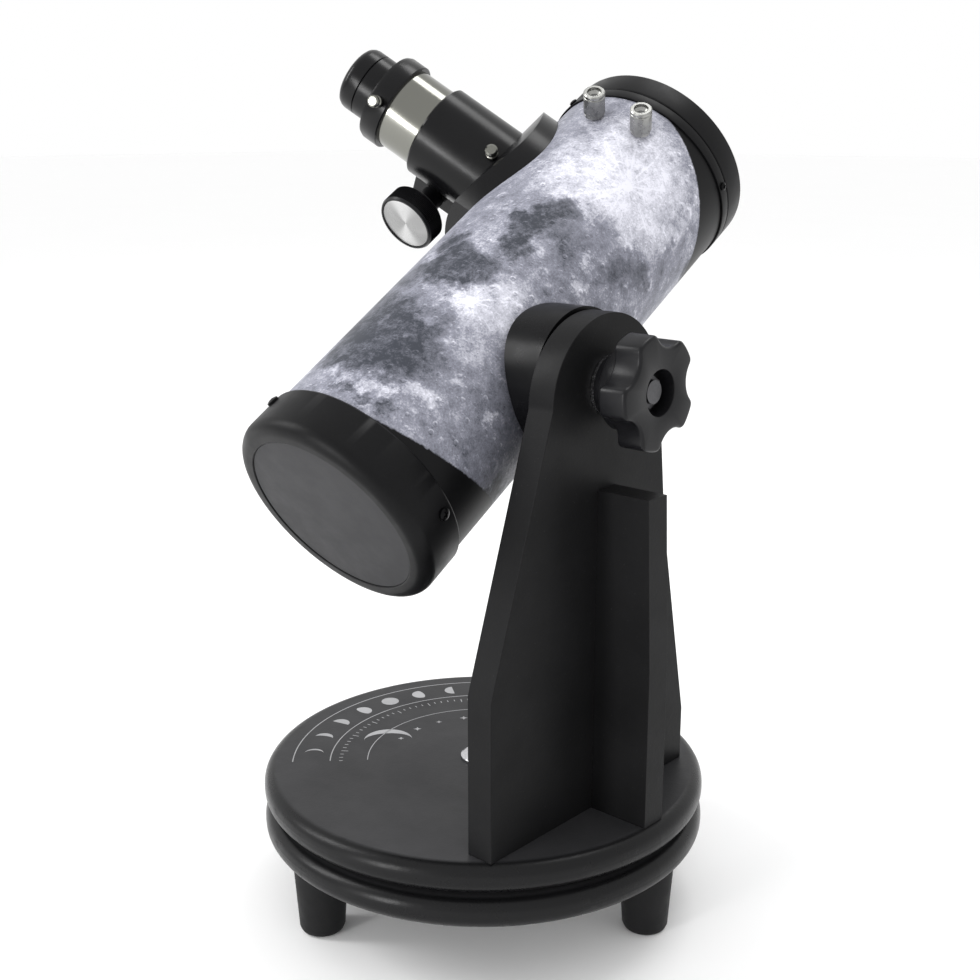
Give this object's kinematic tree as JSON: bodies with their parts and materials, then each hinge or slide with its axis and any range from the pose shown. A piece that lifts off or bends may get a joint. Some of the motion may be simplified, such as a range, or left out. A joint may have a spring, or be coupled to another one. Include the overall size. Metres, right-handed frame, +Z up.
{
  "type": "tabletop reflector telescope",
  "caption": "Short reflecting telescope on a single-arm rocker mount with a round rotating base, a star tension knob, rack focuser, eyepiece and front dust cover.",
  "frame": {"origin": "centre of the round base, on the surface that its feet stand on", "axes": "+Z up along the azimuth axis; +X from the tube towards the arm and tension knob, along the altitude axis; +Y the level direction that the front of the tube leans towards at rest"},
  "size_m": [0.2311, 0.276, 0.3993],
  "materials": {
    "base_board": "satin black coated fibreboard",
    "arm_board": "satin black coated fibreboard",
    "foot_rubber": "matt black",
    "slip_pad": "waxy white",
    "zinc_steel": "bright zinc",
    "black_steel": "black oxide",
    "bronze_bush": "turned",
    "pivot_plastic": "satin black moulding",
    "felt_washer": "black felt",
    "knob_plastic": "fine textured black moulding",
    "tube_wall": "flat black inside",
    "moon_print": "printed satin film with a grey lunar surface",
    "cell_plastic": "satin black moulding",
    "disc_label": "matt dark grey",
    "mirror_glass": "first-surface mirror",
    "black_alloy": "satin black anodised",
    "chromed_tube": "polished",
    "bright_alloy": "turned and brushed",
    "nickel_brass": "satin nickel plate",
    "rack_steel": "machined",
    "gear_brass": "machined",
    "lens_glass": "coated, clear"
  },
  "bodies": {
    "base": {"ground_plate": "base_board", "foot_1": "foot_rubber", "foot_2": "foot_rubber", "foot_3": "foot_rubber", "foot_screws": "zinc_steel", "glide_pads": "slip_pad", "azimuth_washer": "slip_pad", "azimuth_bolt": "zinc_steel", "azimuth_nut": "zinc_steel"},
    "turntable": {"rotating_plate": "base_board", "azimuth_bush": "bronze_bush", "arm_panel": "arm_board", "arm_brace": "arm_board", "arm_screws": "zinc_steel", "brace_screws": "black_steel", "pivot_bush": "pivot_plastic", "friction_washer": "felt_washer", "outer_washer": "zinc_steel"},
    "tube": {"pivot_boss": "pivot_plastic", "pivot_bolt": "zinc_steel", "main_tube": "tube_wall", "moon_wrap": "moon_print", "rear_cup": "cell_plastic", "rear_disc": "disc_label", "rear_screws": "black_steel", "mirror_cell": "cell_plastic", "primary_mirror": "mirror_glass", "mirror_clips": "cell_plastic", "front_ring": "cell_plastic", "front_screws": "black_steel", "spider": "black_alloy", "secondary_holder": "black_alloy", "secondary_mirror": "mirror_glass", "finder_studs": "zinc_steel", "focuser_flange": "black_alloy", "flange_screws": "zinc_steel", "focuser_body": "black_alloy", "pinion_housing": "black_alloy", "housing_screws": "black_steel"},
    "tension_knob": {"tension_knob": "knob_plastic", "knob_insert": "zinc_steel"},
    "dust_cover": {"dust_cover": "cell_plastic"},
    "finder_nut_1": {"finder_nut_1": "nickel_brass"},
    "finder_nut_2": {"finder_nut_2": "nickel_brass"},
    "focus_pinion": {"pinion_shaft": "rack_steel", "pinion_gear": "gear_brass", "focus_knob_rear": "knob_plastic", "focus_knob_front": "knob_plastic", "knob_disc_rear": "bright_alloy", "knob_disc_front": "bright_alloy"},
    "focus_lock": {"focus_lock_screw": "chromed_tube"},
    "drawtube": {"drawtube": "chromed_tube", "drawtube_rack": "rack_steel", "eyepiece_collar": "black_alloy"},
    "collar_screw": {"collar_screw": "chromed_tube"},
    "eyepiece": {"eyepiece_body": "black_alloy", "eyepiece_barrel": "chromed_tube", "eye_lens": "lens_glass", "field_lens": "lens_glass"}
  },
  "joints": [
    {"name": "azimuth", "type": "hinge", "parent": "base", "child": "turntable", "pos_m": [0, 0, 0.05], "axis": [0, 0, 1], "continuous": true},
    {"name": "altitude", "type": "hinge", "parent": "turntable", "child": "tube", "pos_m": [0, 0, 0.258], "axis": [1, 0, 0], "range_deg": [-37, 58]},
    {"name": "tension_knob_turn", "type": "hinge", "parent": "tube", "child": "tension_knob", "pos_m": [0.085, 0, 0.258], "axis": [1, 0, 0], "range_deg": [-180, 90]},
    {"name": "dust_cover_pull", "type": "slide", "parent": "tube", "child": "dust_cover", "axis": [0, 0.848, 0.5299], "range_m": [0, 0.04]},
    {"name": "finder_nut_1_turn", "type": "hinge", "parent": "tube", "child": "finder_nut_1", "pos_m": [-0.00015, 0.07851, 0.37297], "axis": [0.3584, -0.4947, 0.7917], "continuous": true},
    {"name": "finder_nut_2_turn", "type": "hinge", "parent": "tube", "child": "finder_nut_2", "pos_m": [0.02357, 0.08333, 0.36525], "axis": [0.3584, -0.4947, 0.7917], "continuous": true},
    {"name": "focus_travel", "type": "slide", "parent": "tube", "child": "drawtube", "axis": [-0.766, -0.3406, 0.5451], "range_m": [-0.012, 0.014]},
    {"name": "focus_turn", "type": "hinge", "parent": "tube", "child": "focus_pinion", "pos_m": [-0.08431, 0.06716, 0.33545], "axis": [0, 0.848, 0.5299], "range_deg": [-180, 180]},
    {"name": "focus_lock_turn", "type": "hinge", "parent": "tube", "child": "focus_lock", "pos_m": [-0.03677, 0.04707, 0.34934], "axis": [0.5872, -0.7158, 0.3779], "range_deg": [-180, 90]},
    {"name": "eyepiece_pull", "type": "slide", "parent": "drawtube", "child": "eyepiece", "axis": [-0.766, -0.3406, 0.5451], "range_m": [0, 0.03]},
    {"name": "collar_screw_turn", "type": "hinge", "parent": "drawtube", "child": "collar_screw", "pos_m": [-0.08859, 0.02232, 0.37425], "axis": [0.4132, -0.9106, 0.0116], "range_deg": [-180, 90]}
  ],
  "couplings": [
    {"joint": "focus_turn", "follows": "focus_travel", "rad_per_m": -208.33}
  ]
}
